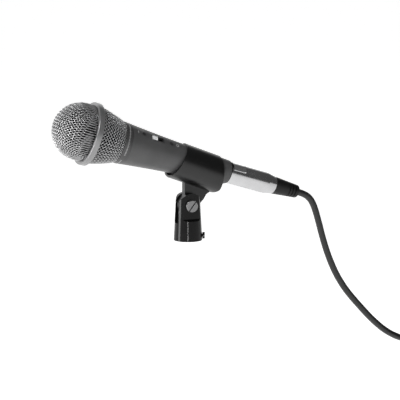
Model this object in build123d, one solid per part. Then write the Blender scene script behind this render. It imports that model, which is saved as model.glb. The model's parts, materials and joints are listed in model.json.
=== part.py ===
from build123d import *
import math
import os

# Hand-held dynamic vocal microphone, lying in its swivel clip, with its cable plugged in.
# Row frame, millimetres: origin at the mouth of the stand adapter's threaded hole, +Z up,
# the microphone's axis in the XZ plane, grille towards -X, cable towards +X.
# Turned parts are drawn in a local frame: local Z is their axis, local X their upper side.

# --- driving dimensions -------------------------------------------------------------------

# stand adapter
ADAPTER_BASE_R = 12.4          # outside radius at the bottom
ADAPTER_TAPER = 0.054          # loss of radius per mm of height
SLOT_FLOOR_Z = 15.5
LEDGE_Z = 19.0                 # the cheeks' flats start here
CHEEK_OUT_Y = 7.8
CHEEK_IN_Y = 3.6
CHEEK_TOP_R = 10.6             # round top of the cheeks, about the pivot
PIVOT_Z = 30.5
THREAD_R = 7.94                # 5/8 inch stand thread
THREAD_LEN = 12.5
INSERT_R = 9.2

# pivot screw
PIVOT_SHANK_R = 2.5
PIVOT_HOLE_R = 2.58
SCREW_HEAD_R = 5.3
SCREW_HEAD_H = 2.2

# microphone axis and handle, stations measured along the axis towards the grille
MIC_PITCH = 17.2               # degrees nose up
MIC_AXIS_Z = 68.1              # height of the axis over the origin
HANDLE_FRONT = (17.5, 60.2)    # (radius, station)
HANDLE_WAIST = (13.2, 6.0)
HANDLE_REAR = (10.7, -34.0)
HANDLE_END = -38.2
INSERT_SCREW_AT = HANDLE_END + 19.5
SPIGOT_R = 14.5
SPIGOT_TOP = 66.0
SOCKET_R = 8.15
SOCKET_FLOOR = HANDLE_END + 23.0

# grille
BALL_R = 24.3
BALL_CENTRE = 100.5
MESH_T = 1.0
BAND_AT = 93.0
BAND_R = 26.8
BAND_HALF = 2.7
CONE_TOP_R = 25.0
CONE_MIDDLE = (22.3, 79.2)
CONE_FOOT = (18.0, 66.7)
COLLAR_FOOT = 60.4
FOAM_T = 4.0

# capsule
CAPSULE_R = 13.2
CAPSULE_FOOT = 68.5
CAPSULE_TOP = 90.0

# switch, at a roll angle about the axis from the upper side
SWITCH_ROLL = -41.0
SWITCH_AT = 36.5
SLIDER_TRAVEL = 5.6
SLOT_LEN = 10.6
SLOT_W = 4.0
SCREW_STATIONS = (50.0, 23.0)

# clip
CLIP_GAP = 0.12                # between the handle's upper line and the bore
CLIP_BORE_R = 14.8
CLIP_OUT_R = 16.2
CLIP_TOP_WALL = 0.9
CLIP_WALL_TAPER = 0.2          # degrees between bore and outside
TONGUE_HALF = 3.0
WASHER_T = 0.5

# cable connectors
SHELL_R = 9.4
SHELL_FRONT = HANDLE_END - 0.9
SHELL_TAPER_AT = -77.0
SHELL_END = -85.0
SHELL_END_R = 7.8
BARREL_R = 7.9
BOOT_END = -110.0
BOOT_END_R = 5.8
PIN_R = 1.2
PIN_CIRCLE_R = 4.0
LATCH_ROLL = -52.0

# cord
CORD_R = 3.0
FLOOR_Z = -120.0
HANK_CENTRE = (290.0, -14.0)
HANK_SIDE = 60.0               # straight sides, along X
HANK_IN_R = 14.8               # radii of its round ends
HANK_OUT_R = 35.0
HANK_FOOT = FLOOR_Z + 1.0
HANK_H = 24.9
TIE_T = 0.7
TIE_W = 16.0
PLUG_Z = HANK_FOOT + HANK_H + SHELL_R + 0.2

# The cord's route from the connector's boot to the hank, and from the hank to the plug.
ROUTE = [
    (113.1, 0.0, 33.1),
    (119.3, 0.0, 28.0),
    (123.5, 0.2, 20.0),
    (127.7, 0.6, 7.6),
    (132.6, 1.0, -8.8),
    (138.8, 1.2, -26.0),
    (147.0, 1.2, -43.4),
    (157.6, 1.0, -59.2),
    (171.0, 1.0, -74.0),
    (186.2, 2.0, -89.6),
    (203.6, 4.6, -103.6),
    (222.8, 8.6, -113.2),
    (241.6, 13.6, -117.0),
    (260.0, 17.0, -117.0),
]
TAIL = [
    (260.0, -46.4, -97.1),
    (243.6, -42.3, -96.4),
    (232.1, -30.1, -94.4),
    (229.0, -14.0, -91.6),
    (234.9, 0.5, -88.6),
    (246.5, 9.4, -86.2),
    (255.2, 11.6, -84.8),
    (264.0, 11.5, PLUG_Z),
]


# --- helpers ------------------------------------------------------------------------------

def direction(pitch):
    """Unit vector towards the grille for an axis that rises by pitch degrees."""
    a = math.radians(pitch)
    return Vector(-math.cos(a), 0, math.sin(a))


def normal(pitch):
    """Unit vector square to that axis, on its upper side."""
    a = math.radians(pitch)
    return Vector(math.sin(a), 0, math.cos(a))


def axis_plane(origin, pitch):
    return Plane(origin=origin, x_dir=normal(pitch), z_dir=direction(pitch))


MIC = axis_plane((0, 0, MIC_AXIS_Z), MIC_PITCH)


def on_mic(shape):
    return MIC.location * shape


def turned(*points):
    """Solid of revolution about local Z, from (radius, station) corners."""
    return revolve(Plane.XZ * make_face(Polyline(*points, close=True)), Axis.Z)


def turned_from(*edges):
    """Solid of revolution about local Z, from outline edges drawn in (radius, station)."""
    return revolve(Plane.XZ * make_face(Curve() + list(edges)), Axis.Z)


def rod(radius, low, high, x=0.0, y=0.0):
    """Cylinder along local Z between two stations."""
    return Pos(x, y, (low + high) / 2) * Cylinder(radius, high - low)


def tube(outer, inner, low, high):
    return rod(outer, low, high) - rod(inner, low - 1, high + 1)


def block(radial, width, station):
    """Box on local X: (low, high) radii, a full width, (low, high) stations."""
    sizes = (radial[1] - radial[0], width, station[1] - station[0])
    centre = (sum(radial) / 2, 0, sum(station) / 2)
    return Pos(*centre) * Box(*sizes)


def radial_rod(radius, low, high, station):
    """Cylinder pointing out along local X at a station."""
    return Pos((low + high) / 2, 0, station) * Rot(0, 90, 0) * Cylinder(radius, high - low)


def rolled(shape, degrees):
    return Rot(0, 0, degrees) * shape


def waist_slope():
    rise = HANDLE_WAIST[0] - HANDLE_REAR[0]
    return rise / (HANDLE_WAIST[1] - HANDLE_REAR[1])


def handle_radius(station):
    """Outside radius of the handle: straight behind the waist, flaring in front of it."""
    radius, waist = HANDLE_WAIST
    ahead = station - waist
    straight = radius + waist_slope() * ahead
    if ahead <= 0:
        return straight
    span = HANDLE_FRONT[1] - waist
    extra = HANDLE_FRONT[0] - radius - waist_slope() * span
    return straight + extra * (ahead / span) ** 2


# --- stand adapter ------------------------------------------------------------------------

def adapter_fork():
    """Tapered post with a threaded foot, whose top is slotted into two flat cheeks."""
    height = PIVOT_Z + CHEEK_TOP_R
    top_r = ADAPTER_BASE_R - ADAPTER_TAPER * height
    post = Pos(0, 0, height / 2) * Cone(ADAPTER_BASE_R, top_r, height)
    post = post - Pos(0, 0, height) * shoulder_cut(1) - Pos(0, 0, height) * shoulder_cut(-1)
    post = post - Pos(0, 0, SLOT_FLOOR_Z + 25) * Box(60, 2 * CHEEK_IN_Y, 50)
    low = Pos(0, 0, PIVOT_Z / 2 - 1) * Box(60, 60, PIVOT_Z + 2)
    round_top = Pos(0, 0, PIVOT_Z) * Rot(90, 0, 0) * Cylinder(CHEEK_TOP_R, 40)
    post = post & (low + round_top)
    post = post - rod(INSERT_R, -1, THREAD_LEN)
    post = post - pivot_rod(PIVOT_HOLE_R, -20, 20)
    post = post - nut_pocket() - lock_screw_hole()
    return post


def shoulder_cut(side):
    """The flat outside one cheek, with a sloping shoulder at its foot."""
    height = PIVOT_Z + CHEEK_TOP_R - LEDGE_Z
    points = [(0, 1), (0, -height), (2.2, -height - 1.6), (30, -height - 1.6), (30, 1)]
    face = make_face(Polyline(*points, close=True))
    cut = extrude(Plane.YZ * face, 30, both=True)
    cut = Pos(0, CHEEK_OUT_Y, 0) * cut
    return cut if side > 0 else mirror(cut, about=Plane.XZ)


def pivot_rod(radius, low_y, high_y):
    """Cylinder along Y through the pivot."""
    centre = Pos(0, (low_y + high_y) / 2, PIVOT_Z)
    return centre * Rot(90, 0, 0) * Cylinder(radius, high_y - low_y)


def hexagon_prism(across_flats, low_y, high_y):
    sketch = RegularPolygon(across_flats / 2, 6, major_radius=False)
    prism = extrude(sketch, (high_y - low_y) / 2, both=True)
    return Pos(0, (low_y + high_y) / 2, PIVOT_Z) * Rot(90, 0, 0) * prism


def nut_pocket():
    return hexagon_prism(8.1, CHEEK_OUT_Y - 2.6, CHEEK_OUT_Y + 1)


def pivot_nut():
    return hexagon_prism(8.0, CHEEK_OUT_Y - 2.55, CHEEK_OUT_Y + 1.2) - pivot_rod(2.6, -20, 20)


def pivot_screw():
    """Slotted cheese-head screw through both cheeks, head on the -Y side."""
    face_y = -CHEEK_OUT_Y - 0.1
    head = pivot_rod(SCREW_HEAD_R, face_y - SCREW_HEAD_H, face_y)
    head = fillet(head.edges().sort_by(Axis.Y)[0], 0.7)
    slot = Pos(0, face_y - SCREW_HEAD_H, PIVOT_Z) * Rot(0, -52, 0) * Box(20, 2.2, 1.4)
    shank = pivot_rod(PIVOT_SHANK_R, face_y - 0.2, CHEEK_OUT_Y + 1.0)
    return head - slot + shank


def on_lock(shape):
    """Place a part drawn along local X low on the adapter's cable side."""
    return Pos(0, 0, 3.9) * Rot(0, 0, -24) * shape


def lock_screw_hole():
    return on_lock(radial_rod(1.6, 5, 14, 0))


def lock_screw():
    """Cheese-head screw that clamps the thread insert."""
    head = radial_rod(2.9, ADAPTER_BASE_R + 0.1, ADAPTER_BASE_R + 2.1, 0)
    slot = Pos(ADAPTER_BASE_R + 2.1, 0, 0) * Box(1.4, 8, 0.9)
    shank = radial_rod(1.5, INSERT_R + 0.05, ADAPTER_BASE_R + 0.5, 0)
    return on_lock(head - slot + shank)


def thread_insert():
    """Brass bush with the stand thread; the crests are the wall radius."""
    bush = rod(INSERT_R - 0.05, 0.05, THREAD_LEN - 0.05) - rod(THREAD_R, -1, THREAD_LEN + 1)
    for turn in range(8):
        low = 1.2 + turn * 1.4
        groove = turned((THREAD_R - 1, low), (THREAD_R - 1, low + 0.7),
                        (THREAD_R, low + 0.7), (THREAD_R + 0.5, low + 0.35), (THREAD_R, low))
        bush = bush - groove
    return bush


# --- clip ---------------------------------------------------------------------------------

def clip_pitches():
    bore = MIC_PITCH + math.degrees(math.atan(waist_slope()))
    return bore, bore + CLIP_WALL_TAPER


def clip_axes():
    """Planes along the clip's bore and along its outside, level with the clip's front."""
    station = 2.0
    bore_pitch, out_pitch = clip_pitches()
    centre = Vector(0, 0, MIC_AXIS_Z) + direction(MIC_PITCH) * station
    ridge = centre + normal(MIC_PITCH) * handle_radius(station)
    bore_origin = ridge - normal(bore_pitch) * (CLIP_BORE_R - CLIP_GAP)
    out_origin = ridge - normal(out_pitch) * (CLIP_OUT_R - CLIP_GAP - CLIP_TOP_WALL)
    return axis_plane(bore_origin, bore_pitch), axis_plane(out_origin, out_pitch)


def clip_outline():
    """Side view of the sleeve in (up, forward): both ends are cut at a slant."""
    points = [(16.6, 4.9), (-16.6, 10.8), (-16.6, -36.4), (16.6, -28.4)]
    face = make_face(Polyline(*points, close=True))
    corner = face.vertices().sort_by_distance(Vector(-16.6, -36.4, 0))[0]
    face = fillet(corner, 5.0)
    nose = face.vertices().sort_by_distance(Vector(-16.6, 10.8, 0))[0]
    return fillet(nose, 2.5)


def tongue():
    """Flat stem from the sleeve down to the pivot."""
    outline = Polyline(
        (-4.2, 56.0), (-4.2, 40.0), (-8.6, 33.2), (9.0, 30.5), (13.4, 35.0), (15.8, 39.0),
        (21.4, 42.6), (21.4, 50.0), close=True)
    stem = extrude(Plane.XZ * make_face(outline), TONGUE_HALF, both=True)
    return stem + pivot_rod(9.0, -TONGUE_HALF, TONGUE_HALF)


def clip_body():
    bore, outside = clip_axes()
    sleeve = outside.location * rod(CLIP_OUT_R, -45, 20)
    trim = extrude(Plane.XZ * clip_outline(), 30, both=True)
    sleeve = sleeve & (outside.location * trim)
    stem = tongue() - outside.location * rod(CLIP_OUT_R - 1.2, -60, 60)
    body = sleeve + stem - bore.location * rod(CLIP_BORE_R, -80, 80)
    return body - pivot_rod(PIVOT_HOLE_R, -20, 20)


def clip_washers():
    ring = pivot_rod(7.6, TONGUE_HALF, TONGUE_HALF + WASHER_T) - pivot_rod(2.7, -20, 20)
    return Compound([ring, mirror(ring, about=Plane.XZ)])


# --- microphone handle --------------------------------------------------------------------

def handle_body():
    """Die-cast tapered tube with a threaded spigot, a switch opening and the XLR socket."""
    front_r, front_s = HANDLE_FRONT
    middle = (HANDLE_WAIST[1] + front_s) / 2
    flare = ThreePointArc(HANDLE_WAIST, (handle_radius(middle), middle), HANDLE_FRONT)
    outline = Polyline(
        (front_r, front_s), (SPIGOT_R, front_s), (SPIGOT_R, SPIGOT_TOP), (12.6, SPIGOT_TOP),
        (12.6, 50.0), (10.4, 6.0), (SOCKET_R, SOCKET_FLOOR), (SOCKET_R, HANDLE_END),
        (9.4, HANDLE_END))
    end_round = ThreePointArc((9.4, HANDLE_END), (10.25, HANDLE_END + 0.45),
                              (10.5, HANDLE_END + 1.5))
    rear = Polyline((10.5, HANDLE_END + 1.5), HANDLE_REAR, HANDLE_WAIST)
    body = turned_from(flare, outline, end_round, rear)
    body = body - rolled(rounded_block((5, 20), 5.4, 6.0), SWITCH_ROLL)
    for station in SCREW_STATIONS:
        seat = handle_radius(station) - 1.3
        body = body - rolled(radial_rod(1.9, seat, 20, station), SWITCH_ROLL)
        body = body - rolled(radial_rod(1.05, 5, 20, station), SWITCH_ROLL)
    return body - rolled(radial_rod(1.3, 5, 20, INSERT_SCREW_AT), SWITCH_ROLL + 180)


def rounded_block(radial, width, half_length):
    """Box over the switch with its four upright edges rounded."""
    box = block(radial, width, (SWITCH_AT - half_length, SWITCH_AT + half_length))
    return fillet(box.edges().filter_by(Axis.X), 0.8)


def switch_bezel():
    frame = rounded_block((13.5, 15.1), 5.3, 5.95)
    half = SLOT_LEN / 2
    return rolled(frame - block((5, 20), SLOT_W, (SWITCH_AT - half, SWITCH_AT + half)), SWITCH_ROLL)


def switch_slider():
    """Thumb slider at the forward end of its slot, with three grip ribs."""
    centre = SWITCH_AT + SLIDER_TRAVEL / 2
    knob = block((9.5, 16.0), SLOT_W - 0.4, (centre - 2.3, centre + 2.3))
    for step in (-1.4, 0.0, 1.4):
        knob = knob - block((15.6, 17), 6, (centre + step - 0.35, centre + step + 0.35))
    return rolled(knob, SWITCH_ROLL)


def switch_plate():
    half = SLOT_LEN / 2
    plate = block((9.3, 10.3), 6.0, (19.0, 54.0))
    plate = plate - block((5, 20), SLOT_W, (SWITCH_AT - half, SWITCH_AT + half))
    for station in SCREW_STATIONS:
        plate = plate - radial_rod(1.0, 5, 20, station)
    return rolled(plate, SWITCH_ROLL)


def switch_housing():
    case = block((4.6, 9.25), 7.4, (SWITCH_AT - 8, SWITCH_AT + 8))
    lug = block((2.0, 4.7), 1.0, (-0.6, 0.6))
    for station in (SWITCH_AT - 5, SWITCH_AT, SWITCH_AT + 5):
        case = case + Pos(0, 0, station) * lug
    return rolled(case, SWITCH_ROLL)


def switch_screw(station):
    top = handle_radius(station) - 0.45
    head = radial_rod(1.7, top - 0.8, top, station)
    slot = Pos(top, 0, station) * Rot(25, 0, 0) * Box(0.8, 6, 0.5)
    return rolled(head - slot + radial_rod(0.95, 8.8, top - 0.7, station), SWITCH_ROLL)


def switch_screws():
    return Compound([switch_screw(station) for station in SCREW_STATIONS])


def end_gasket():
    """Thin rubber ring on the handle's end, with the block that guards the latch."""
    ring = tube(9.7, 8.2, SHELL_FRONT + 0.1, HANDLE_END - 0.05)
    guard = block((9.0, 10.5), 5.6, (SHELL_FRONT + 0.1, HANDLE_END - 0.05))
    return ring + rolled(guard, LATCH_ROLL + 8)


def three_around(shape, roll):
    """Three copies at the XLR contact places: two at the sides and one between them."""
    placed = []
    for angle in (90, 180, 270):
        placed.append(Rot(0, 0, roll + angle) * Pos(PIN_CIRCLE_R, 0, 0) * shape)
    return placed


def handle_insert():
    disc = rod(SOCKET_R - 0.05, HANDLE_END + 16.0, SOCKET_FLOOR - 0.1)
    for hole in three_around(rod(PIN_R + 0.03, -40, 0), LATCH_ROLL):
        disc = disc - hole
    return disc - rolled(radial_rod(1.25, 6.6, 20, INSERT_SCREW_AT), SWITCH_ROLL + 180)


def handle_pins():
    pin = rod(PIN_R, HANDLE_END + 5.0, SOCKET_FLOOR + 4.0)
    pin = chamfer(pin.edges().sort_by(Axis.Z)[0], 0.5)
    return Compound(three_around(pin, LATCH_ROLL))


def insert_screw():
    screw = radial_rod(1.2, 6.7, 10.7, INSERT_SCREW_AT) - Pos(10.7, 0, INSERT_SCREW_AT) * Box(0.8, 6, 0.5)
    return rolled(screw, SWITCH_ROLL + 180)


def transformer():
    core = Pos(0, 0, 9.0) * Box(11.0, 9.0, 14.0)
    winding = Pos(0, 0, 9.0) * Box(8.0, 12.6, 9.0)
    return rolled(core + winding, SWITCH_ROLL)


def wire(points):
    path = FilletPolyline(*points, radius=2.0)
    section = Plane(origin=path @ 0, z_dir=path % 0) * Circle(0.6)
    return sweep(section, path=path)


def leads():
    """Two insulated leads from the capsule down past the transformer to the socket."""
    pair = []
    for side in (-1, 1):
        points = [(-4, 1.5 * side, 55), (-7, 2.5 * side, 44), (-7.4, 3.0 * side, 1),
                  (-3, 2.0 * side, -6), (-1.5, 1.2 * side, -10.2)]
        pair.append(rolled(wire(points), SWITCH_ROLL))
    return Compound(pair)


# --- capsule ------------------------------------------------------------------------------

def shock_mount():
    """Rubber ring with two soft lips that carries the capsule in the handle's mouth."""
    return turned((7.2, 56.5), (12.4, 56.5), (12.4, 60.0), (10.6, 61.2), (12.4, 62.4),
                  (12.4, 66.05), (13.6, 66.05), (13.6, 67.6), (7.2, 67.6))


def capsule_housing():
    return turned((5.0, 56.6), (7.1, 56.6), (7.1, CAPSULE_FOOT), (CAPSULE_R, CAPSULE_FOOT),
                  (CAPSULE_R, CAPSULE_TOP), (12.3, CAPSULE_TOP), (12.3, 70.0), (5.0, 70.0))


def capsule_magnet():
    return turned((0, 71.0), (9.0, 71.0), (9.0, 80.0), (5.6, 80.0), (5.6, 85.2), (0, 85.2))


def capsule_yoke():
    return turned((6.9, 80.1), (9.0, 80.1), (12.2, 80.1), (12.2, 84.6), (6.9, 84.6))


def voice_coil():
    return tube(6.6, 5.9, 81.0, 86.6)


def diaphragm():
    """Thin dome with a rolled surround."""
    return turned((0, 89.0), (3.4, 88.5), (6.4, 87.0), (8.0, 87.9), (10.6, 87.9), (12.2, 87.0),
                  (12.2, 86.7), (10.5, 87.65), (8.1, 87.65), (6.4, 86.7), (3.3, 88.25), (0, 88.75))


def capsule_grid():
    """Protective cap over the diaphragm, pierced by a centre hole and a ring of holes."""
    cap = turned((0, 92.6), (11.0, 92.6), (CAPSULE_R, 91.6), (CAPSULE_R, CAPSULE_TOP + 0.05),
                 (12.2, CAPSULE_TOP + 0.05), (12.2, 91.0), (0, 91.6))
    cap = cap - rod(1.6, 80, 100)
    for index in range(8):
        cap = cap - Rot(0, 0, 45 * index) * rod(1.5, 80, 100, x=7.2)
    return cap


# --- grille -------------------------------------------------------------------------------

def shell_profile(offset):
    """Arc of the upper grille at an offset inside its outer face, band to pole."""
    radius = BALL_R - offset
    half = radius * math.sqrt(0.5)
    start = math.sqrt(radius ** 2 - (BALL_CENTRE - BAND_AT) ** 2)
    return ThreePointArc((start, BAND_AT), (half, BALL_CENTRE + half), (0, BALL_CENTRE + radius))


def cone_profile(offset):
    """Gently swelling lower grille at an offset inside its outer face, top to foot."""
    (middle_r, middle_s), (foot_r, foot_s) = CONE_MIDDLE, CONE_FOOT
    top = (CONE_TOP_R - offset, BAND_AT - 0.05)
    return ThreePointArc(top, (middle_r - offset, middle_s), (foot_r - offset, foot_s))


def grille_ball():
    outer, inner = shell_profile(0), shell_profile(MESH_T)
    rim = Line(outer @ 0, inner @ 0)
    pole = Line(outer @ 1, inner @ 1)
    return turned_from(outer, inner, rim, pole)


def grille_cone():
    outer, inner = cone_profile(0), cone_profile(MESH_T)
    return turned_from(outer, inner, Line(outer @ 0, inner @ 0), Line(outer @ 1, inner @ 1))


def grille_band():
    """Smooth ring over the cone's rim, with a lip that closes in on the ball."""
    low, high = BAND_AT - BAND_HALF, BAND_AT + BAND_HALF
    inside, lip = CONE_TOP_R + 0.05, 24.0
    band = turned((inside, low), (BAND_R, low), (BAND_R, high), (lip, high), (lip, BAND_AT + 0.1),
                  (inside, BAND_AT + 0.1))
    rims = band.edges().filter_by(GeomType.CIRCLE).group_by(SortBy.RADIUS)[-1]
    return fillet(rims, 0.9)


def grille_collar():
    """Threaded ring that screws the grille to the handle."""
    foot_r, foot_s = CONE_FOOT
    return turned((14.8, COLLAR_FOOT), (17.55, COLLAR_FOOT), (17.65, COLLAR_FOOT + 0.2),
                  (foot_r, foot_s - 0.1), (15.4, foot_s - 0.1), (14.8, foot_s - 0.7))


def grille_foam():
    """Foam windscreen lining both parts of the grille."""
    out, gap = MESH_T + 0.2, MESH_T + 0.2 + FOAM_T
    ball_out, ball_in = shell_profile(out), shell_profile(gap)
    cone_out = ThreePointArc(ball_out @ 0, (CONE_MIDDLE[0] - out, CONE_MIDDLE[1]), (16.6, 68.4))
    cone_in = ThreePointArc(ball_in @ 0, (CONE_MIDDLE[0] - gap, CONE_MIDDLE[1]), (14.4, 68.4))
    pole = Line(ball_out @ 1, ball_in @ 1)
    return turned_from(ball_out, pole, ball_in, cone_in, Line(cone_in @ 1, cone_out @ 1), cone_out)


# --- cable connectors ---------------------------------------------------------------------

def connector_shell():
    """Female cable connector: barrel that enters the handle, body, tapered end."""
    tip = SHELL_FRONT + 15.0
    shell = turned((7.1, tip), (BARREL_R, tip), (BARREL_R, SHELL_FRONT), (SHELL_R, SHELL_FRONT),
                   (SHELL_R, SHELL_TAPER_AT), (SHELL_END_R, SHELL_END), (7.0, SHELL_END),
                   (7.0, -80.0), (8.0, -76.0), (8.0, tip - 29.0), (7.1, tip - 26.0))
    pocket = block((7.6, 14), 6.4, (SHELL_FRONT - 13.1, SHELL_FRONT - 0.7))
    return shell - rolled(pocket, LATCH_ROLL)


def connector_latch():
    """Thumb release with a raised rib at its back edge."""
    back = SHELL_FRONT - 12.7
    tab = block((8.6, 10.1), 6.0, (back, SHELL_FRONT - 1.0))
    return rolled(tab + block((9.5, 10.9), 6.0, (back, back + 1.4)), LATCH_ROLL)


def connector_insert():
    front = SHELL_FRONT + 13.9
    body = rod(7.05, front - 24.0, front)
    for hole in three_around(rod(1.85, front - 30, front - 2), LATCH_ROLL):
        body = body - hole
    for hole in three_around(rod(1.45, front - 6, front + 30), LATCH_ROLL):
        body = body - hole
    return body


def connector_contacts():
    front = SHELL_FRONT + 11.8
    sleeve = tube(1.8, PIN_R + 0.08, front - 13.9, front) + rod(1.8, front - 20.9, front - 13.9)
    return Compound(three_around(sleeve, LATCH_ROLL))


def strain_chuck():
    """Slit collet that grips the cord inside the connector, foot at station 0."""
    ring = turned((CORD_R + 0.05, 0), (6.9, 0), (6.9, 14.0), (5.4, 19.0), (CORD_R + 0.05, 19.0))
    slit = Pos(0, 0, 14.0) * Box(20, 0.8, 12)
    return ring - slit - Rot(0, 0, 90) * slit


def cable_boot():
    """Tapered rubber boot, cord end at station 0, with a rounded mouth."""
    length = SHELL_END - BOOT_END - 0.1
    mouth = ThreePointArc((4.1, 0), (BOOT_END_R - 0.35, 0.45), (BOOT_END_R, 1.5))
    side = Polyline((BOOT_END_R, 1.5), (7.8, length), (CORD_R + 0.05, length),
                    (CORD_R + 0.05, 0), (4.1, 0))
    boot = turned_from(mouth, side)
    for index in range(3):
        low = 3.5 + 3.0 * index
        boot = boot - tube(9, 5.2 + 0.22 * index, low, low + 1.1)
    return boot


def connector_chuck():
    return Pos(0, 0, -84.0) * strain_chuck()


def connector_boot():
    return Pos(0, 0, BOOT_END) * cable_boot()


def cord_entry():
    return rod(CORD_R, BOOT_END, -64.0)


# --- cord ---------------------------------------------------------------------------------

def corner_radii(points):
    """Largest tangent arc for each corner: 0.45 of the shorter run over tan of half the turn."""
    radii = []
    for before, at, after in zip(points, points[1:], points[2:]):
        run_in, run_out = at - before, after - at
        turn = math.radians(run_in.get_angle(run_out))
        shorter = min(run_in.length, run_out.length)
        radii.append(0.45 * shorter / math.tan(turn / 2))
    return radii


def cord_tube(points):
    points = [Vector(*point) for point in points]
    radii = corner_radii(points)
    path = FilletPolyline(*points, radius=radii)
    section = Plane(origin=path @ 0, z_dir=path % 0) * Circle(CORD_R)
    solid = sweep(section, path=path)
    expected = math.pi * CORD_R ** 2 * path.length
    print("cord radii", [round(r, 1) for r in radii])
    print("cord length %.1f, volume / expected %.4f" % (path.length, solid.volume / expected))
    return solid


def cord_exit():
    """Point on the microphone's axis where the cord leaves the boot."""
    return Vector(0, 0, MIC_AXIS_Z) + direction(MIC_PITCH) * BOOT_END


def at_hank(shape):
    return Pos(HANK_CENTRE[0], HANK_CENTRE[1], HANK_FOOT) * shape


def cord_hank():
    """Outer shape of the folded length."""
    outline = SlotCenterToCenter(HANK_SIDE, 2 * HANK_OUT_R)
    ring = extrude(outline - SlotCenterToCenter(HANK_SIDE, 2 * HANK_IN_R), HANK_H)
    levels = ring.edges().group_by(Axis.Z)
    return at_hank(fillet(levels[0] + levels[-1], CORD_R - 0.2))


def cord_tie():
    """Hook-and-loop strap round the hank's front side."""
    width = HANK_OUT_R - HANK_IN_R + 0.3
    middle = (HANK_OUT_R + HANK_IN_R) / 2
    outer = Box(TIE_W, width + 2 * TIE_T, HANK_H + 2 * TIE_T + 0.1)
    outer = fillet(outer.edges().filter_by(Axis.X), 3.0)
    inner = Box(TIE_W + 2, width, HANK_H + 0.1)
    inner = fillet(inner.edges().filter_by(Axis.X), 2.3)
    end = Pos(0, -1, HANK_H / 2 + TIE_T + 0.55) * Box(TIE_W, 12, 1.0)
    return at_hank(Pos(0, -middle, HANK_H / 2) * (outer - inner + end))


# --- far-end plug -------------------------------------------------------------------------

PLUG = Plane(origin=TAIL[-1], x_dir=(0, 0, 1), z_dir=(1, 0, 0))
PLUG_SHELL_FOOT = 25.0
PLUG_FRONT = 68.0
PLUG_FLOOR = 53.0


def on_plug(shape):
    return PLUG.location * shape


def plug_shell():
    foot = PLUG_SHELL_FOOT
    return turned((7.0, foot), (SHELL_END_R, foot), (SHELL_R, foot + 8), (SHELL_R, PLUG_FRONT - 0.6),
                  (SHELL_R - 0.6, PLUG_FRONT), (SOCKET_R, PLUG_FRONT), (SOCKET_R, 44.0),
                  (8.0, 40.0), (8.0, foot + 9), (7.0, foot + 5))


def plug_insert():
    disc = rod(SOCKET_R - 0.05, 45.0, PLUG_FLOOR)
    for hole in three_around(rod(PIN_R + 0.03, 40, 60), 0):
        disc = disc - hole
    return disc


def plug_pins():
    pin = rod(PIN_R, 45.1, PLUG_FRONT - 3.5)
    pin = chamfer(pin.edges().sort_by(Axis.Z)[-1], 0.5)
    return Compound(three_around(pin, 0))


def plug_chuck():
    return Pos(0, 0, PLUG_SHELL_FOOT + 1) * strain_chuck()


def plug_entry():
    return rod(CORD_R, 0, 42.0)


# --- export -------------------------------------------------------------------------------

def pieces():
    mic_parts = [
        handle_body, end_gasket, handle_insert, handle_pins, insert_screw, transformer, leads,
        shock_mount, capsule_housing, capsule_magnet, capsule_yoke, voice_coil, diaphragm,
        capsule_grid, switch_bezel, switch_slider, switch_plate, switch_housing, switch_screws,
        grille_ball, grille_cone, grille_band, grille_collar, grille_foam,
        connector_shell, connector_latch, connector_insert, connector_contacts,
        connector_chuck, connector_boot, cord_entry]
    stand_parts = [adapter_fork, thread_insert, lock_screw, pivot_screw, pivot_nut,
                   clip_body, clip_washers, cord_hank, cord_tie]
    plug_parts = [plug_shell, plug_insert, plug_pins, plug_chuck, plug_entry]
    made = {make.__name__: on_mic(make()) for make in mic_parts}
    made.update({make.__name__: make() for make in stand_parts})
    made.update({make.__name__: on_plug(make()) for make in plug_parts})
    made["plug_boot"] = on_plug(cable_boot())
    made["cord_tube"] = cord_tube([tuple(cord_exit())] + ROUTE)
    made["cord_tail"] = cord_tube(TAIL)
    return made


os.makedirs("parts", exist_ok=True)
for name, shape in pieces().items():
    export_step(shape, "parts/%s.step" % name)
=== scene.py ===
import json
import math

import bpy
from mathutils import Matrix, Vector, noise


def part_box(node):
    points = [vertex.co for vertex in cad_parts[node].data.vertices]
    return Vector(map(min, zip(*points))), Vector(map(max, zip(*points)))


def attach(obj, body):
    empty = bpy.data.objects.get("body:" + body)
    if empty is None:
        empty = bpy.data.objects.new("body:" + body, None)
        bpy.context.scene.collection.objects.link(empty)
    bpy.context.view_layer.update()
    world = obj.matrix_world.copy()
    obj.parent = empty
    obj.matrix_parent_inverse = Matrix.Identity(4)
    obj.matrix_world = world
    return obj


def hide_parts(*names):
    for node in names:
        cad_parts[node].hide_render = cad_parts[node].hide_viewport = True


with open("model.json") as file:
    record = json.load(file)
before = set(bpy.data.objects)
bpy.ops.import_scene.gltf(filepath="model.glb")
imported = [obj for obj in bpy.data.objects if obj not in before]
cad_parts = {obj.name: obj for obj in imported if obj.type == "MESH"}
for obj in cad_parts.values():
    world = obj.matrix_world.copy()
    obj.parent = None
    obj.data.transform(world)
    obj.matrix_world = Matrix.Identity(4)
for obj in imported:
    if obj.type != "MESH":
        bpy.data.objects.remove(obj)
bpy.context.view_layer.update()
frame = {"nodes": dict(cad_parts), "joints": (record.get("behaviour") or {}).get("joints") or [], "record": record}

MM = 0.001

# --- places read from the frame -------------------------------------------------------------

JOINTS = {joint["name"]: joint for joint in frame["joints"]}


def centre_of(node):
    low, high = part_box(node)
    return (Vector(low) + Vector(high)) / 2


MIC_DIR = Vector(JOINTS["grille_off"]["axis"]).normalized()
MIC_UP = MIC_DIR.cross(Vector((0, -1, 0))).normalized()

# Stations run along the microphone's axis towards the grille, as in the CAD part.
BAND_STATION = 93.0 * MM
BOOT_STATION = -110.0 * MM
MIC_ORIGIN = centre_of("grille_band") - MIC_DIR * BAND_STATION

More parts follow.
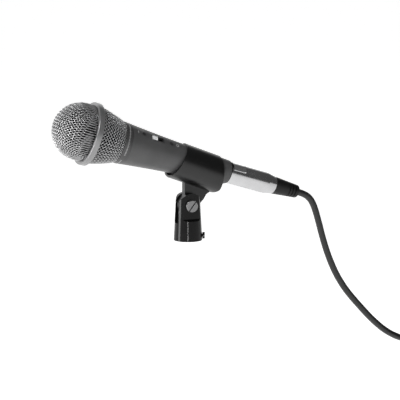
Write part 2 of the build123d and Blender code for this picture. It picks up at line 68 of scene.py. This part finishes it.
# Microphone's own frame: X up, Y across, Z along the axis, with its origin at station 0.
MIC_MATRIX = Matrix.Translation(MIC_ORIGIN) @ Matrix((
    (MIC_UP.x, 0.0, MIC_DIR.x, 0.0),
    (MIC_UP.y, 1.0, MIC_DIR.y, 0.0),
    (MIC_UP.z, 0.0, MIC_DIR.z, 0.0),
    (0.0, 0.0, 0.0, 1.0)))

# --- sizes of the pieces made here, in metres -------------------------------------------------

BALL_R = 24.3 * MM
BALL_STATION = 100.5 * MM
CONE_TOP_R = 25.0 * MM
CONE_MIDDLE = (22.3 * MM, 79.2 * MM)
CONE_FOOT_R = 18.0 * MM
CONE_FOOT_STATION = 66.7 * MM
WIRE_R = 0.27 * MM
WEAVE_ROLL = math.radians(-52.0)
WIDE_STRANDS = 17.5             # strands of the ball in a quarter turn, one way and the other
CLOSE_STRANDS = 19.5
CONE_WIRES = 46                 # strands of the cone, each way
FOAM_GAP = 1.3 * MM
FOAM_WALL = 3.7 * MM
FOAM_FOOT_STATION = 68.6 * MM
FOAM_BORE_R = 14.4 * MM

COLLAR_R = 17.82 * MM
COLLAR_STATION = 63.6 * MM
COLLAR_TICKS = 120
HANDLE_WAIST_R = 13.22 * MM     # just over the painted handle at its waist
HANDLE_WAIST_STATION = 6.0 * MM
HANDLE_SLOPE = 0.0625
HANDLE_FLARE = 0.311            # growth of the radius with the distance squared, per metre
SWITCH_ROLL = math.radians(-41.0)
BAR_STATION = 55.5 * MM
RING_STATION = 17.2 * MM
MARK_R = 1.2 * MM
MARK_WIRE_R = 0.16 * MM
SHELL_R = 9.4 * MM
LATCH_ROLL = math.radians(-52.0)
RIDGE_STATION = -54.5 * MM
RIDGE_PITCH = 2.0 * MM
BLOCK_RISE = 0.1 * MM

CORD_D = 6.0 * MM
FLOOR_Z = -120.0 * MM
HANK_CENTRE = Vector((290.0, -14.0, 0.0)) * MM
HANK_HALF_SIDE = 30.0 * MM
HANK_TURN_OUT = 31.0 * MM       # radius of the outermost turn's round ends
HANK_TURN_IN = 18.0 * MM
HANK_LOW_Z = FLOOR_Z + 4.0 * MM
HANK_LAYER = 6.3 * MM

# The cord's route, as the CAD part has it: boot to hank, and hank to plug.
CORD_EXIT = MIC_ORIGIN + MIC_DIR * BOOT_STATION
ROUTE = [
    (0.1131, 0.0, 0.0331), (0.1193, 0.0, 0.0280), (0.1235, 0.0002, 0.0200),
    (0.1277, 0.0006, 0.0076), (0.1326, 0.0010, -0.0088), (0.1388, 0.0012, -0.0260),
    (0.1470, 0.0012, -0.0434), (0.1576, 0.0010, -0.0592), (0.1710, 0.0010, -0.0740),
    (0.1862, 0.0020, -0.0896), (0.2036, 0.0046, -0.1036), (0.2228, 0.0086, -0.1132),
    (0.2416, 0.0136, -0.1170),
]
TAIL = [
    (0.2436, -0.0423, -0.0964), (0.2321, -0.0301, -0.0944), (0.2290, -0.0140, -0.0916),
    (0.2349, 0.0005, -0.0886), (0.2465, 0.0094, -0.0862), (0.2552, 0.0116, -0.0848),
    (0.2640, 0.0115, -0.0845),
]


# --- materials ----------------------------------------------------------------------------------

def new_material(name):
    material = bpy.data.materials.new(name)
    material.use_nodes = True
    return material, material.node_tree, material.node_tree.nodes["Principled BSDF"]


def noise_node(tree, scale, detail, stretch=None):
    """Noise in the piece's own metres, so scale is in features per metre."""
    texture = tree.nodes.new("ShaderNodeTexNoise")
    texture.inputs["Scale"].default_value = scale
    texture.inputs["Detail"].default_value = detail
    source = tree.nodes.new("ShaderNodeTexCoord").outputs["Object"]
    if stretch:
        mapping = tree.nodes.new("ShaderNodeMapping")
        mapping.inputs["Scale"].default_value = stretch
        tree.links.new(source, mapping.inputs["Vector"])
        source = mapping.outputs["Vector"]
    tree.links.new(source, texture.inputs["Vector"])
    return texture.outputs["Fac"]


def vary_colour(tree, shader, fac, dark, light):
    ramp = tree.nodes.new("ShaderNodeValToRGB")
    ramp.color_ramp.elements[0].position = 0.35
    ramp.color_ramp.elements[0].color = (*dark, 1)
    ramp.color_ramp.elements[1].position = 0.65
    ramp.color_ramp.elements[1].color = (*light, 1)
    tree.links.new(fac, ramp.inputs["Fac"])
    tree.links.new(ramp.outputs["Color"], shader.inputs["Base Color"])


def vary_roughness(tree, shader, fac, low, high):
    span = tree.nodes.new("ShaderNodeMapRange")
    span.inputs["To Min"].default_value = low
    span.inputs["To Max"].default_value = high
    tree.links.new(fac, span.inputs["Value"])
    tree.links.new(span.outputs["Result"], shader.inputs["Roughness"])


def add_bump(tree, shader, height, strength, distance):
    bump = tree.nodes.new("ShaderNodeBump")
    bump.inputs["Strength"].default_value = strength
    bump.inputs["Distance"].default_value = distance
    tree.links.new(height, bump.inputs["Height"])
    tree.links.new(bump.outputs["Normal"], shader.inputs["Normal"])


def finish_material(name, dark, light, roughness, metallic=0.0, grain=2500.0, bump=0.15,
                    depth=0.00005, specular=0.5, stretch=None):
    """A surface with slight colour and roughness variation and a fine grain."""
    material, tree, shader = new_material(name)
    shader.inputs["Metallic"].default_value = metallic
    shader.inputs["Specular IOR Level"].default_value = specular
    vary_colour(tree, shader, noise_node(tree, 60.0, 4.0), dark, light)
    vary_roughness(tree, shader, noise_node(tree, 180.0, 3.0), *roughness)
    add_bump(tree, shader, noise_node(tree, grain, 2.0, stretch=stretch), bump, depth)
    return material


def grey(value):
    return (value, value, value * 1.01)


def make_materials():
    """One material for each finish."""
    made = {}

    def add(name, *args, **kwargs):
        made[name] = finish_material(name, *args, **kwargs)

    add("handle_paint", grey(0.060), grey(0.070), (0.38, 0.46), metallic=0.1, specular=0.3,
        grain=4500.0, bump=0.25)
    add("wire_steel", grey(0.40), grey(0.48), (0.30, 0.38), metallic=0.9, grain=3000.0)
    add("band_metal", grey(0.20), grey(0.24), (0.28, 0.36), metallic=0.7, grain=3500.0, bump=0.2)
    add("collar_metal", grey(0.045), grey(0.055), (0.38, 0.46), metallic=0.3, grain=4000.0)
    add("collar_marks", grey(0.32), grey(0.38), (0.4, 0.5), metallic=0.2)
    add("clip_plastic", grey(0.003), grey(0.005), (0.26, 0.34), specular=0.4, grain=2200.0, bump=0.35)
    add("fork_metal", grey(0.003), grey(0.005), (0.1, 0.14), specular=0.15, grain=1500.0, bump=0.02)
    add("screw_steel", grey(0.62), grey(0.7), (0.16, 0.24), metallic=1.0, grain=1500.0, bump=0.1)
    add("shell_nickel", grey(0.42), grey(0.48), (0.14, 0.2), metallic=1.0, grain=1800.0, bump=0.06)
    add("pin_metal", grey(0.7), grey(0.76), (0.12, 0.2), metallic=1.0)
    add("rubber_black", grey(0.004), grey(0.007), (0.42, 0.52), specular=0.25, grain=2600.0, bump=0.3)
    add("insulator_black", grey(0.02), grey(0.028), (0.3, 0.4))
    add("slider_plastic", grey(0.72), grey(0.8), (0.35, 0.45))
    add("marks_paint", grey(0.45), grey(0.52), (0.5, 0.6))
    # Darkened copy of screw_steel for the pivot screw: painted shade, so the steel reads dim whatever the lamps
    # give.
    add("screw_steel_painted_shade", grey(0.17), grey(0.21), (0.2, 0.3), metallic=0.9)
    add("cord_sheath", grey(0.008), grey(0.012), (0.36, 0.48), specular=0.4, grain=1800.0, bump=0.25)
    add("tie_fabric", grey(0.02), grey(0.035), (0.8, 0.95), grain=2000.0, bump=0.9, depth=0.0004)
    add("foam", grey(0.003), grey(0.006), (0.9, 1.0), specular=0.1, grain=1600.0, bump=1.0, depth=0.0006)
    add("washer_fibre", (0.05, 0.04, 0.035), (0.09, 0.075, 0.06), (0.7, 0.85))
    add("insert_brass", (0.55, 0.40, 0.18), (0.66, 0.50, 0.26), (0.2, 0.32), metallic=1.0)
    add("core_steel", grey(0.25), grey(0.35), (0.4, 0.55), metallic=0.8,
        stretch=(1.0, 1.0, 12.0), bump=0.5)
    add("lead_insulation", (0.45, 0.04, 0.03), (0.55, 0.06, 0.045), (0.4, 0.5))
    add("capsule_metal", grey(0.55), grey(0.63), (0.25, 0.35), metallic=1.0, stretch=(1.0, 1.0, 8.0))
    add("magnet_metal", grey(0.4), grey(0.5), (0.25, 0.35), metallic=1.0)
    add("coil_wire", (0.6, 0.27, 0.12), (0.7, 0.35, 0.17), (0.3, 0.4), metallic=0.9)
    add("diaphragm_film", (0.7, 0.66, 0.52), (0.78, 0.74, 0.6), (0.15, 0.25))
    return made


MATERIALS = make_materials()


def paint_cad():
    """Each CAD node takes the material named like its slot, apart from a few darker screws: the lock screw takes
    the fork's black, and the pivot and switch screws carry painted shade.
    """
    swap = {"grille_mesh": "wire_steel"}
    # Painted shade: plain black on the switch screws stands for their shaded recessed holes, and darkened steel on
    # the pivot screw stands for its dim reflection.
    special = {"lock_screw": "fork_metal", "switch_screws": "insulator_black",
               "pivot_screw": "screw_steel_painted_shade"}
    for part in frame["record"]["subparts"]:
        slot = part["material_slot"]
        name = special.get(part["node"], swap.get(slot, slot))
        node = frame["nodes"][part["node"]]
        for index in range(len(node.material_slots)):
            node.material_slots[index].material = MATERIALS[name]


# --- mesh helpers -------------------------------------------------------------------------------

def new_object(name, mesh, material, body):
    piece = bpy.data.objects.new(name, mesh)
    bpy.context.scene.collection.objects.link(piece)
    mesh.materials.append(MATERIALS[material])
    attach(piece, body)
    return piece


def mesh_from(name, points, faces, smooth=True):
    mesh = bpy.data.meshes.new(name)
    mesh.from_pydata([tuple(p) for p in points], [], faces)
    mesh.polygons.foreach_set("use_smooth", [smooth] * len(mesh.polygons))
    mesh.validate()
    mesh.update()
    return mesh


def add_wire(points, faces, path, radius, sides=6):
    """Adds a thin tube along a path to lists of points and faces."""
    first = len(points)
    last = len(path) - 1
    for index, at in enumerate(path):
        tangent = (path[min(index + 1, last)] - path[max(index - 1, 0)]).normalized()
        outward = at - tangent * at.dot(tangent)
        across = tangent.cross(outward).normalized()
        over = across.cross(tangent)
        for side in range(sides):
            angle = 2 * math.pi * side / sides
            points.append(at + (across * math.cos(angle) + over * math.sin(angle)) * radius)
    for index in range(last):
        for side in range(sides):
            a = first + index * sides + side
            b = first + index * sides + (side + 1) % sides
            faces.append((a, b, b + sides, a + sides))
    faces.append(tuple(first + side for side in reversed(range(sides))))
    faces.append(tuple(first + last * sides + side for side in range(sides)))


# --- grille -------------------------------------------------------------------------------------

def ball_strand(turn, step, other_step, side):
    """One strand of the ball in a plane of its own, waving over and under those it crosses."""
    reach = BALL_R - 2 * WIRE_R
    level = math.sin(turn)
    ring = math.cos(turn)
    lowest = (BAND_STATION + 0.3 * MM - BALL_STATION) / reach
    end = math.acos(max(lowest / ring, -1.0))
    count = 2 * math.ceil(end * ring / other_step)
    strand = []
    for index in range(-count, count + 1):
        angle = end * index / count
        way = Vector((level, ring * math.sin(angle), ring * math.cos(angle)))
        crossed = math.asin(way.y) / other_step
        lift = side * WIRE_R * math.cos(math.pi * (turn / step + crossed))
        strand.append(way * (reach + lift))
    return strand


def grille_dome():
    """Woven wire ball: two sets of strands in planes square to each other."""
    points, faces = [], []
    wide, close = math.pi / 2 / WIDE_STRANDS, math.pi / 2 / CLOSE_STRANDS
    last_wide, last_close = math.floor(WIDE_STRANDS), math.floor(CLOSE_STRANDS)
    quarter = Matrix.Rotation(math.pi / 2, 3, "Z")
    for index in range(-last_wide, last_wide + 1):
        add_wire(points, faces, ball_strand(index * wide, wide, close, 1), WIRE_R)
    for index in range(-last_close, last_close + 1):
        strand = ball_strand(index * close, close, wide, -1)
        add_wire(points, faces, [quarter @ point for point in strand], WIRE_R)
    place = MIC_MATRIX @ Matrix.Translation((0, 0, BALL_STATION)) @ Matrix.Rotation(WEAVE_ROLL, 4, "Z")
    mesh = mesh_from("woven_ball", [place @ point for point in points], faces)
    piece = new_object("woven_ball", mesh, "wire_steel", "grille")
    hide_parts("grille_ball")


def cone_radius(station):
    """Radius of the lower grille at a station, on a smooth curve through three points."""
    (x1, y1), (x2, y2) = (CONE_TOP_R, BAND_STATION), CONE_MIDDLE
    x3, y3 = CONE_FOOT_R, CONE_FOOT_STATION
    a = (station - y2) * (station - y3) / ((y1 - y2) * (y1 - y3))
    b = (station - y1) * (station - y3) / ((y2 - y1) * (y2 - y3))
    c = (station - y1) * (station - y2) / ((y3 - y1) * (y3 - y2))
    return a * x1 + b * x2 + c * x3


def grille_skirt():
    """Woven wire cone: two sets of strands that wind both ways at 45 degrees."""
    steps = 130
    span = (BAND_STATION - CONE_FOOT_STATION) / steps
    track = []
    turned = 0.0
    for index in range(steps + 1):
        station = CONE_FOOT_STATION + span * index
        radius = cone_radius(station)
        track.append((station, radius, turned))
        slope = (cone_radius(station + span) - radius) / span
        turned += span * math.sqrt(1 + slope * slope) / radius
    points, faces = [], []
    for wire in range(CONE_WIRES):
        for way in (-1, 1):
            start = 2 * math.pi * wire / CONE_WIRES
            strand = []
            for station, radius, turned in track:
                lift = way * WIRE_R * math.cos(CONE_WIRES * turned)
                reach = radius - 2 * WIRE_R + lift
                angle = start + way * turned
                strand.append(Vector((reach * math.cos(angle), reach * math.sin(angle), station)))
            add_cone_wire(points, faces, strand)
    mesh = mesh_from("woven_cone", [MIC_MATRIX @ p for p in points], faces)
    piece = new_object("woven_cone", mesh, "wire_steel", "grille")
    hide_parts("grille_cone")


def add_cone_wire(points, faces, strand):
    """Like add_wire, for a strand whose outward side is square to the axis."""
    foot = Vector((0, 0, strand[len(strand) // 2].z))
    shifted = [point - foot for point in strand]
    before = len(points)
    add_wire(points, faces, shifted, WIRE_R, sides=5)
    for index in range(before, len(points)):
        points[index] = points[index] + foot


def revolve_mesh(name, outline, segments=96, rough=0.0):
    """Closed surface of revolution about the microphone's axis from (radius, station) points."""
    points, faces = [], []
    for radius, station in outline:
        for index in range(segments):
            angle = 2 * math.pi * index / segments
            at = Vector((radius * math.cos(angle), radius * math.sin(angle), station))
            if rough:
                at *= 1 + rough * noise.noise(at * 900.0)
            points.append(MIC_MATRIX @ at)
    rows = len(outline)
    for row in range(rows):
        below = (row + 1) % rows
        for index in range(segments):
            beside = (index + 1) % segments
            faces.append((row * segments + index, row * segments + beside,
                          below * segments + beside, below * segments + index))
    return mesh_from(name, points, faces)


def arc_points(centre, radius, start, end, count):
    """Points on an arc in the (radius, station) plane, angles in degrees from the radius."""
    found = []
    for index in range(count):
        angle = math.radians(start + (end - start) * index / (count - 1))
        found.append((centre[0] + radius * math.cos(angle), centre[1] + radius * math.sin(angle)))
    return found


def foam_liner():
    """Foam windscreen inside the grille, with a slightly uneven open-cell surface."""
    centre = (0, BALL_STATION)
    outer = arc_points(centre, BALL_R - FOAM_GAP, 88, -18, 30)
    steps = 15
    skirt = []
    for index in range(1, steps + 1):
        station = BAND_STATION - (BAND_STATION - FOAM_FOOT_STATION) * index / steps
        skirt.append((cone_radius(station) - FOAM_GAP - 0.1 * MM, station))
    inner_skirt = []
    for radius, station in reversed(skirt):
        inner_skirt.append((max(radius - FOAM_WALL + 0.1 * MM, FOAM_BORE_R), station))
    inner = arc_points(centre, BALL_R - FOAM_GAP - FOAM_WALL, -18, 88, 24)
    outline = outer + skirt + inner_skirt + inner
    mesh = revolve_mesh("foam_liner", outline, rough=0.006)
    piece = new_object("foam_liner", mesh, "foam", "grille")
    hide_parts("grille_foam")


def add_block(points, faces, turn, station, surface, half_round, half_along):
    """Adds a small raised block on a surface round the microphone's axis."""
    roll = Matrix.Rotation(turn, 4, "Z")
    base = len(points)
    for along in (station - half_along, station + half_along):
        for reach in (surface - BLOCK_RISE, surface + BLOCK_RISE):
            for aside in (-half_round, half_round):
                points.append(MIC_MATRIX @ (roll @ Vector((reach, aside, along))))
    for face in ((0, 1, 3, 2), (4, 6, 7, 5), (0, 4, 5, 1), (2, 3, 7, 6), (0, 2, 6, 4), (1, 5, 7, 3)):
        faces.append(tuple(base + corner for corner in face))


def collar_ticks():
    """Three groups of short raised bars round the collar."""
    points, faces = [], []
    group = COLLAR_TICKS // 3
    for index in range(COLLAR_TICKS):
        if index % group > group - 7:
            continue
        turn = 2 * math.pi * index / COLLAR_TICKS
        half_along = 0.6 * MM if index % 3 else 0.4 * MM
        add_block(points, faces, turn, COLLAR_STATION, COLLAR_R, 0.2 * MM, half_along)
    mesh = mesh_from("collar_ticks", points, faces, smooth=False)
    new_object("collar_ticks", mesh, "collar_marks", "grille")


def on_handle(station, aside):
    """A point on the handle's painted surface, beside the line of the switch."""
    along = station - HANDLE_WAIST_STATION
    radius = HANDLE_WAIST_R + HANDLE_SLOPE * along + HANDLE_FLARE * along * along
    turn = SWITCH_ROLL + aside / radius
    return Vector((radius * math.cos(turn), radius * math.sin(turn), station))


def switch_marks():
    """Plain ring and bar symbols at the two ends of the switch."""
    points, faces = [], []
    bar = [on_handle(BAR_STATION, aside * MM) for aside in (-1.3, -0.65, 0.0, 0.65, 1.3)]
    ring = []
    sides = 24
    for index in range(sides + 1):
        angle = 2 * math.pi * index / sides
        ring.append(on_handle(RING_STATION + MARK_R * math.cos(angle), MARK_R * math.sin(angle)))
    add_wire(points, faces, bar, MARK_WIRE_R)
    add_wire(points, faces, ring, MARK_WIRE_R)
    mesh = mesh_from("switch_marks", [MIC_MATRIX @ point for point in points], faces)
    new_object("switch_marks", mesh, "marks_paint", "microphone")


def connector_ridges():
    """Short raised grip ridges across the connector's shell, behind its latch."""
    points, faces = [], []
    for index in range(4):
        station = RIDGE_STATION - RIDGE_PITCH * index
        add_block(points, faces, LATCH_ROLL, station, SHELL_R, 1.4 * MM, 0.45 * MM)
    mesh = mesh_from("connector_ridges", points, faces, smooth=False)
    new_object("connector_ridges", mesh, "shell_nickel", "cable")


# --- cord ---------------------------------------------------------------------------------------

def hank_place(turns, radius, height):
    """Point on a long loop, clockwise from the left end of its far side."""
    share = turns % 1.0
    side, bend = 0.22, 0.28
    x_half = HANK_HALF_SIDE
    if share < side:
        offset = Vector((-x_half + 2 * x_half * share / side, radius, 0))
    elif share < side + bend:
        angle = math.pi * (0.5 - (share - side) / bend)
        offset = Vector((x_half + radius * math.cos(angle), radius * math.sin(angle), 0))
    elif share < 2 * side + bend:
        along = (share - side - bend) / side
        offset = Vector((x_half - 2 * x_half * along, -radius, 0))
    else:
        angle = math.pi * (1.5 - (share - 2 * side - bend) / bend)
        offset = Vector((-x_half + radius * math.cos(angle), radius * math.sin(angle), 0))
    return HANK_CENTRE + offset + Vector((0, 0, height))


def hank_marks():
    """Where one loop's control points lie, in turns: two on each side, six round each end."""
    marks = [0.0, 0.11]
    marks += [0.22 + 0.28 * step / 6 for step in range(6)]
    return marks + [mark + 0.5 for mark in marks]


def hank_points():
    """Turns of the folded cord, wound inwards and outwards, one layer on another."""
    layer_turns, climb_turns, layers = 2.0, 0.5, 4
    pitch = (HANK_TURN_OUT - HANK_TURN_IN) / layer_turns
    last = layers * layer_turns + (layers - 1) * climb_turns + 0.22
    found = []
    for whole in range(math.ceil(last)):
        for mark in hank_marks():
            turns = whole + mark
            if turns > last + 0.001:
                continue
            layer = min(int(turns / (layer_turns + climb_turns)), layers - 1)
            into = turns - layer * (layer_turns + climb_turns)
            run = min(into, layer_turns) if layer < layers - 1 else into
            inward = layer % 2 == 0
            radius = HANK_TURN_OUT - pitch * run if inward else HANK_TURN_IN + pitch * run
            climb = (into - run) / climb_turns
            found.append(hank_place(turns, radius, HANK_LOW_Z + HANK_LAYER * (layer + climb)))
    return found


def cord():
    """The whole cord as one smooth line from the boot, through the hank, to the plug's boot."""
    points = [CORD_EXIT] + [Vector(point) for point in ROUTE]
    points += hank_points() + [Vector(point) for point in TAIL]
    curve = bpy.data.curves.new("cord", "CURVE")
    curve.dimensions = "3D"
    spline = curve.splines.new("NURBS")
    spline.points.add(len(points) - 1)
    for target, point in zip(spline.points, points):
        target.co = (*point, 1.0)
    spline.order_u = 3
    spline.use_endpoint_u = True
    spline.resolution_u = 6
    curve.bevel_depth = CORD_D / 2
    curve.bevel_resolution = 5
    curve.use_fill_caps = True
    piece = bpy.data.objects.new("cord", curve)
    bpy.context.scene.collection.objects.link(piece)
    curve.materials.append(MATERIALS["cord_sheath"])
    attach(piece, "cable")
    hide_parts("cord_tube", "cord_hank", "cord_tail")


# --- stage --------------------------------------------------------------------------------------

def floor():
    material, tree, shader = new_material("floor_paper")
    shader.inputs["Base Color"].default_value = (0.95, 0.95, 0.95, 1)
    shader.inputs["Roughness"].default_value = 0.9
    shader.inputs["Specular IOR Level"].default_value = 0.0
    shader.inputs["Emission Color"].default_value = (1.0, 1.0, 1.0, 1)
    shader.inputs["Emission Strength"].default_value = 0.74
    size = 60.0
    level = FLOOR_Z - 0.1 * MM
    corners = [(-size, -size, level), (size, -size, level), (size, size, level), (-size, size, level)]
    mesh = bpy.data.meshes.new("floor")
    mesh.from_pydata(corners, [], [(0, 1, 2, 3)])
    plane = bpy.data.objects.new("floor", mesh)
    bpy.context.scene.collection.objects.link(plane)
    mesh.materials.append(material)


def area_light(name, place, target, size, power):
    light = bpy.data.lights.new(name, "AREA")
    light.shape = "RECTANGLE"
    light.size, light.size_y = size
    light.energy = power
    lamp = bpy.data.objects.new(name, light)
    lamp.location = place
    lamp.rotation_euler = (Vector(target) - Vector(place)).to_track_quat("-Z", "Y").to_euler()
    bpy.context.scene.collection.objects.link(lamp)


def surroundings():
    """White studio behind the microphone, dark in front of it."""
    world = bpy.data.worlds.new("studio")
    bpy.context.scene.world = world
    world.use_nodes = True
    tree = world.node_tree
    split = tree.nodes.new("ShaderNodeSeparateXYZ")
    coords = tree.nodes.new("ShaderNodeTexCoord")
    tree.links.new(coords.outputs["Generated"], split.inputs["Vector"])
    span = tree.nodes.new("ShaderNodeMapRange")
    span.interpolation_type = "SMOOTHSTEP"
    span.inputs["From Min"].default_value = 0.45
    span.inputs["From Max"].default_value = 0.8
    span.inputs["To Min"].default_value = 0.12
    span.inputs["To Max"].default_value = 1.3
    tree.links.new(split.outputs["Y"], span.inputs["Value"])
    background = tree.nodes["Background"]
    background.inputs["Color"].default_value = (1.0, 1.0, 1.0, 1)
    tree.links.new(span.outputs["Result"], background.inputs["Strength"])


def lights():
    area_light("key_softbox", (-0.75, -0.65, 0.85), (-0.03, 0, 0.06), (0.45, 0.45), 11)
    area_light("front_strip", (-0.50, -1.15, -0.25), (0, 0, 0.0), (0.03, 0.5), 4)
    area_light("side_strip", (-0.95, 0.15, 0.1), (-0.05, 0, 0.03), (0.3, 0.6), 6.5)
    surroundings()


def camera():
    """Three-quarter view from the grille's side, a little above the microphone."""
    azimuth, elevation, distance = math.radians(-23.5), math.radians(9.0), 1.2
    aim = Vector((11.3, 0.0, 33.9)) * MM
    back = Vector((math.sin(azimuth) * math.cos(elevation),
                   -math.cos(azimuth) * math.cos(elevation), math.sin(elevation)))
    data = bpy.data.cameras.new("camera")
    data.sensor_width = 36.0
    data.lens = 125.1
    data.clip_start = 0.05
    eye = bpy.data.objects.new("camera", data)
    eye.location = aim + back * distance
    eye.rotation_euler = (-back).to_track_quat("-Z", "Y").to_euler()
    bpy.context.scene.collection.objects.link(eye)
    bpy.context.scene.camera = eye


def plain_view():
    scene = bpy.context.scene
    scene.view_settings.view_transform = "Standard"
    scene.view_settings.look = "None"


paint_cad()
grille_dome()
grille_skirt()
foam_liner()
collar_ticks()
switch_marks()
connector_ridges()
cord()
floor()
lights()
camera()
plain_view()
